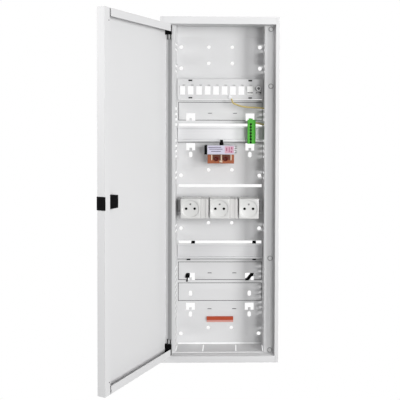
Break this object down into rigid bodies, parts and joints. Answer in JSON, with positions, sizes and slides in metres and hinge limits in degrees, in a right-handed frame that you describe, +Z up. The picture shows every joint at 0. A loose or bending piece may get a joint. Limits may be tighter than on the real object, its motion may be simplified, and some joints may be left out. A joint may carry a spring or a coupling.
{
  "type": "communication wiring cabinet",
  "caption": "Flush wall cabinet of folded white sheet steel for home wiring: open left-hinged door, ledged frame, slotted back box, rails, outlets, terminal block and splitter.",
  "frame": {"origin": "centre of the four outer wall holes, on the back face of the back box", "axes": "+Z up, the door side faces -Y, +X towards the latch side when seen from the front"},
  "size_m": [0.3556, 0.294, 0.764],
  "materials": {
    "frame_paint": "fine powder coat",
    "box_paint": "fine powder coat",
    "screw_paint": "painted heads",
    "strip_paint": "satin paint",
    "jack_plastic": "smooth",
    "coax_metal": "satin nickel",
    "zinc": "bright zinc",
    "screw_steel": "zinc plated",
    "green_plastic": "satin",
    "wire_sleeve": "yellow and green sleeve",
    "splitter_metal": "nickel",
    "label_film": "pale film",
    "amber_plastic": "smoked amber",
    "black_plastic": "satin",
    "cap_plastic": "glossy",
    "socket_plastic": "smooth",
    "filler_plastic": "satin",
    "pin_metal": "polished",
    "contact_brass": "plain",
    "strap_fabric": "hook and loop tape",
    "marker_orange": "satin",
    "marker_card": "card",
    "door_paint": "fine powder coat"
  },
  "bodies": {
    "cabinet": {"cover_frame": "frame_paint", "back_box": "box_paint", "frame_screws": "screw_paint", "keystone_strip": "strip_paint", "data_jack": "jack_plastic", "coax_socket": "coax_metal", "earth_stud": "zinc", "rail_top": "zinc", "rail_middle": "zinc", "rail_bottom": "zinc", "rail_brackets": "zinc", "terminal_block": "green_plastic", "terminal_screws": "screw_steel", "earth_wire": "wire_sleeve", "splitter_bracket": "zinc", "splitter_body": "splitter_metal", "splitter_label": "label_film", "splitter_amber": "amber_plastic", "splitter_end": "black_plastic", "splitter_plug": "black_plastic", "splitter_caps": "cap_plastic", "splitter_ports": "splitter_metal", "socket_left": "socket_plastic", "socket_centre": "socket_plastic", "socket_right": "socket_plastic", "filler_left": "filler_plastic", "filler_right": "filler_plastic", "earth_pins": "pin_metal", "socket_contacts": "contact_brass", "strap_left": "strap_fabric", "strap_right": "strap_fabric", "marker_bar": "marker_orange", "marker_card": "marker_card", "hinge_pin_upper": "screw_steel", "hinge_pin_lower": "screw_steel"},
    "door": {"door_pan": "door_paint", "hinge_block_upper": "black_plastic", "hinge_block_lower": "black_plastic", "latch_body": "black_plastic"},
    "latch_bolt": {"latch_bolt": "black_plastic"}
  },
  "joints": [
    {"name": "door_hinge", "type": "hinge", "parent": "cabinet", "child": "door", "pos_m": [-0.1177, -0.0725, 0], "axis": [0, 0, 1], "range_deg": [-2, 116]},
    {"name": "latch_slide", "type": "slide", "parent": "door", "child": "latch_bolt", "axis": [-0.4384, -0.8988, 0], "range_m": [0, 0.008]}
  ]
}
